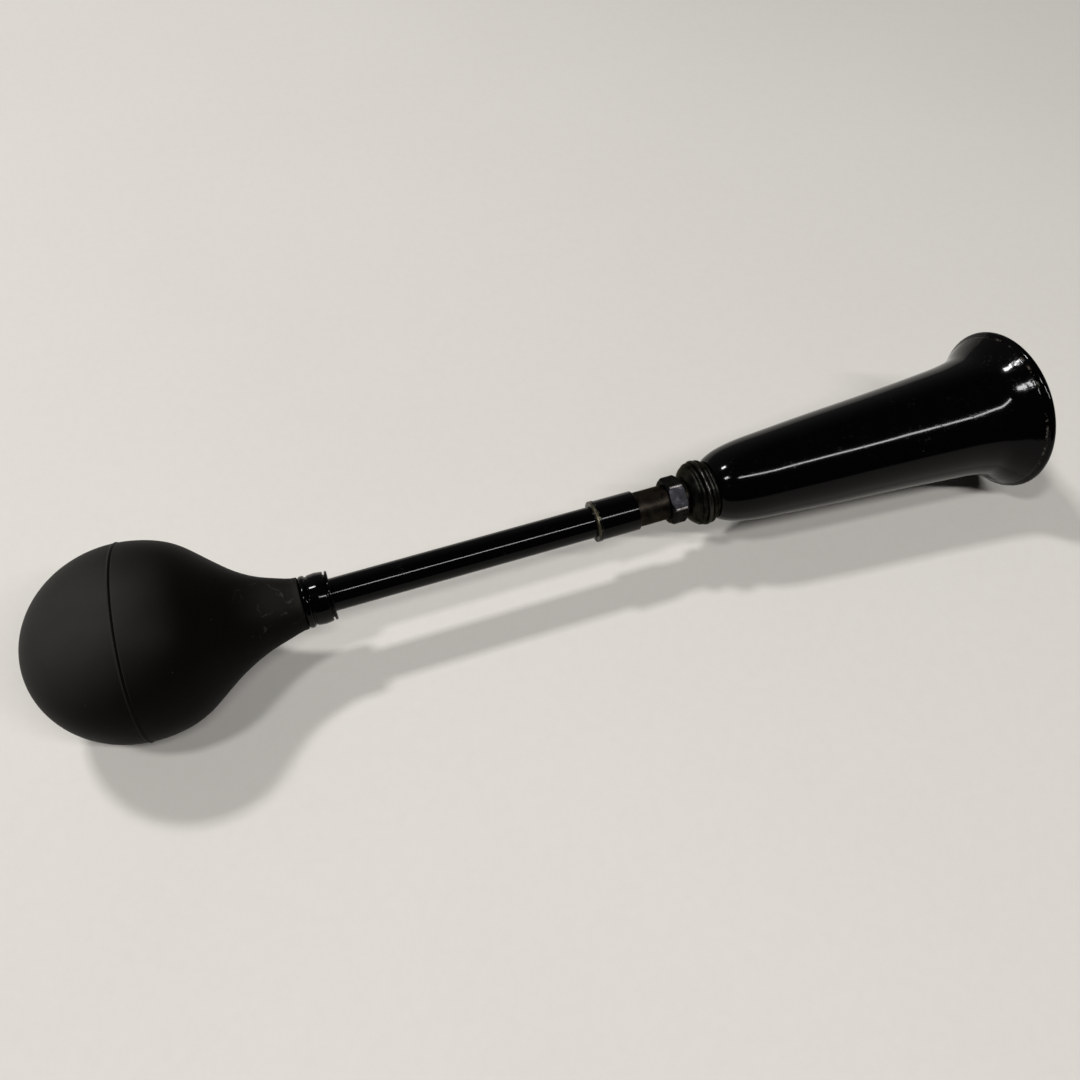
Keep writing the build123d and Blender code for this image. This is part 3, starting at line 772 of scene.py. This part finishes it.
# %% Collar
collar_start, collar_end, _ = reach_of("throat_collar")
collar_face = collar_start + 12.8
washer_seat = reach_of("throat_washer")[1] + 0.05
BEADS = ((4.8, 14.45), (7.08, 15.1), (9.3, 14.7), (11.4, 13.35))
BEAD_R = 1.12
FACE_R, TAIL_R = 12.2, 10.0
COLLAR_BORE_R, COLLAR_THREAD_R = 6.6, 8.05
dome_x = [collar_start + step for step in (0.0, 1.5, 3.4)]
collar_line = [(collar_start, 9.0)] + faired(dome_x, [9.3, 12.0, 13.6], 2.6, 0.35, 18)
for step, top in BEADS:
    collar_line += [
        (collar_start + step - BEAD_R * math.cos(t), top - BEAD_R + BEAD_R * math.sin(t))
        for t in np.linspace(0.12, math.pi - 0.12, 17)
    ]
collar_line += [
    (collar_face, FACE_R), (collar_face, TAIL_R), (collar_end, TAIL_R), (collar_end, COLLAR_BORE_R),
    (washer_seat, COLLAR_BORE_R), (washer_seat, COLLAR_THREAD_R), (collar_start, COLLAR_THREAD_R),
]
collar = turned("collar", collar_line, collar_brass, sides=192)
seat(collar, "bell", "throat_collar")

# %% [markdown]
# ## The bell
# One sheet is spun over a former: a flat back with a hole, a dome, a long slow cone and a flare.
# Its edge is then rolled back round a wire until it meets the flare again, and the crack between
# them was filled and enamelled over, so that the flare now runs up to the roll, with a shallow
# groove where they meet, and only the roll's outer half stands out. The outside is one faired
# curve through measured places, and the inside is a second one, which follows the sheet itself.

# %% Outline of the bell
back, mouth, rim_r = reach_of("bell_shell")
SHEET = 0.9
WIRE_ROOM = 1.1
ROLL_R = WIRE_ROOM + SHEET
HOLE_R = 10.05
BACK_SLOPE, FLARE_SLOPE, LIP_SLOPE = 0.95, 0.88, 0.30
MEET = math.radians(57)
LIP_TURN = math.radians(21.9)
GROOVE_DEPTH, GROOVE_WIDTH, GROOVE_BACK = 0.20, 0.30, 0.9
cone_steps = [0.0, 2.5, 6.0, 10.5, 17.5, 28.5, 48.5, 78.5, 103.5, 120.5, 127.5]
flare_steps = [133.5, 138.5, 142.5, 146.5]
cone = [13.3, 15.0, 16.5, 17.7, 18.85, 19.85, 21.4, 23.35, 25.12, 26.55, 27.3]
sheet_flare = [28.35, 29.85, 31.55, 33.4]
filled_flare = [28.3, 29.65, 31.85, 34.6]

places = [back + step for step in cone_steps + flare_steps]
wire_x, wire_r = mouth - ROLL_R, rim_r - ROLL_R
meet_x, meet_r = wire_x - ROLL_R * math.sin(MEET), wire_r + ROLL_R * math.cos(MEET)
lip_end_x = wire_x + WIRE_ROOM * math.sin(LIP_TURN)
lip_end_r = wire_r - WIRE_ROOM * math.cos(LIP_TURN)
outside = faired(
    places + [meet_x], cone + filled_flare + [meet_r], BACK_SLOPE, FLARE_SLOPE, 1500
)
outside = [(x, r) for k, (x, r) in enumerate(outside) if x > meet_x - 2.4 or k % 6 == 0]
outside = [
    (x, r - GROOVE_DEPTH * math.exp(-(((x - meet_x + GROOVE_BACK) / GROOVE_WIDTH) ** 2)))
    for x, r in outside
]
sheet = faired(
    places + [lip_end_x], cone + sheet_flare + [lip_end_r], BACK_SLOPE, LIP_SLOPE, 260
)
inner = [p for p in inset(sheet, SHEET) if p[0] > back + SHEET]


def roll(turn_from, turn_to, steps):
    """Part of the rolled edge, by the angle turned back since the lip."""
    start = LIP_TURN - math.pi / 2
    return [
        (wire_x + ROLL_R * math.cos(start + t), wire_r + ROLL_R * math.sin(start + t))
        for t in np.linspace(turn_from, turn_to, steps)
    ]


bell_outline = (
    [(back, HOLE_R)] + outside + roll(math.pi - LIP_TURN + MEET - 0.04, 0, 48)
    + inner[::-1] + [(back + SHEET, inner[0][1] - 0.4), (back + SHEET, HOLE_R)]
)
print("bell outline:", len(bell_outline), "points, mouth at", round(mouth, 2))

# %% The bell
bell = turned("bell", bell_outline, bell_enamel, sides=224)
seat(bell, "bell", "bell_shell")

# %% [markdown]
# ## Floor
# The horn lies on its bulb and on the bell's rim, so the floor is as far below the axis as the
# rim reaches, and the soft ball sinks a little at its own spot. The floor is pale and plain, with
# just enough grain for the shadow to lie on something.

# %% Floor
FLOOR_Z = -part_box("bell_shell")[1].z
HALF_FLOOR = 6.0
floor_finish = Finish("floor")
floor_grain = floor_finish.spots(0.004, detail=6.0, roughness=0.6)
floor_clouds = floor_finish.spots(0.35, detail=3.0)
floor_material = floor_finish.surface(
    Base_Color=floor_finish.blend(
        floor_clouds * 0.6 + floor_grain * 0.4, (0.54, 0.515, 0.475), (0.62, 0.60, 0.56)
    ),
    Roughness=0.9,
)
floor_mesh = bpy.data.meshes.new("floor")
quarters = ((-1, -1), (1, -1), (1, 1), (-1, 1))
floor_corners = [(x * HALF_FLOOR, y * HALF_FLOOR, FLOOR_Z) for x, y in quarters]
floor_mesh.from_pydata(floor_corners, [], [(0, 1, 2, 3)])
floor = put("floor", floor_mesh, floor_material)
print("floor at", round(FLOOR_Z, 5))

# %% [markdown]
# ## Light
# Black enamel shows no light of its own, only what it mirrors, so the lamps are placed for their
# reflections. A long narrow lamp gives the one sharp line along the bell and the stem, and two
# short ones give the pairs of spots at its ends. The room is dim, and lighter towards the back,
# which makes the broad grey on top of the bell. A lamp's energy is worked out from its radiance,
# which is what a mirror shows, so its size can change without its reflection getting brighter.

# %% Lamps
def lamp(name, place, size, radiance, turned_by=0.0):
    """A soft rectangular lamp that faces down. Radiance is what a mirror sees of it."""
    data = bpy.data.lights.new(name, "AREA")
    data.shape = "RECTANGLE"
    data.size, data.size_y = size
    data.energy = radiance * size[0] * size[1] * math.pi
    light = bpy.data.objects.new(name, data)
    light.location = place
    light.rotation_euler = (0.0, 0.0, math.radians(turned_by))
    bpy.context.scene.collection.objects.link(light)
    print(f"{name}: {data.energy:.2f} W")


lamp("front tube", (0.62, -0.94, 1.75), (1.50, 0.10), 58.0, turned_by=-20.3)
lamp("left tube", (-0.76, -0.28, 1.75), (0.28, 0.18), 80.0)
lamp("back tube", (-0.56, 0.90, 1.75), (0.28, 0.20), 150.0)

world = bpy.data.worlds.new("room")
world.use_nodes = True
bpy.context.scene.world = world
nodes, links = world.node_tree.nodes, world.node_tree.links
direction = nodes.new("ShaderNodeTexCoord")
to_wall = nodes.new("ShaderNodeVectorMath")
to_wall.operation = "DOT_PRODUCT"
to_wall.inputs[1].default_value = (-0.35, 0.94, 0.0)
toward_back = nodes.new("ShaderNodeMapRange")
toward_back.interpolation_type = "SMOOTHSTEP"
room = {"From Min": 0.30, "From Max": 0.85, "To Min": 0.013, "To Max": 0.20}
for socket, value in room.items():
    toward_back.inputs[socket].default_value = value
links.new(direction.outputs["Generated"], to_wall.inputs[0])
links.new(to_wall.outputs["Value"], toward_back.inputs["Value"])
links.new(toward_back.outputs["Result"], nodes["Background"].inputs["Strength"])
nodes["Background"].inputs["Color"].default_value = (1.0, 0.97, 0.94, 1.0)

# %% [markdown]
# ## Camera
# The camera was solved from the outlines of the stem, the sleeve, the reed tube, the bell and its
# rim. They leave its focal length open: a longer lens from further away fits them as well. Its
# three axes are written out rather than aimed at a point, because they were solved together.

# %% Camera
camera_data = bpy.data.cameras.new("camera")
camera_data.sensor_width = 36.0
camera_data.lens = 32.705
camera_data.shift_x, camera_data.shift_y = 0.0269, -0.0446
camera_data.clip_start, camera_data.clip_end = 0.01, 50.0
camera = bpy.data.objects.new("camera", camera_data)
right = Vector((0.9497, -0.3132, 0.0)).normalized()
ahead = Vector((0.1805, 0.5473, -0.8173)).normalized()
above = right.cross(ahead)
turn = Matrix((right, above, -ahead)).transposed()
camera.matrix_world = Matrix.Translation((-0.05106, -0.21786, 0.36577)) @ turn.to_4x4()
bpy.context.scene.collection.objects.link(camera)
bpy.context.scene.camera = camera
bpy.context.scene.view_settings.view_transform = "Standard"

# %% [markdown]
# ## The end
# The finished pieces must fill the same space as the solid model. Last, the view layer is brought
# up to date.

# %% Update
bpy.context.view_layer.update()
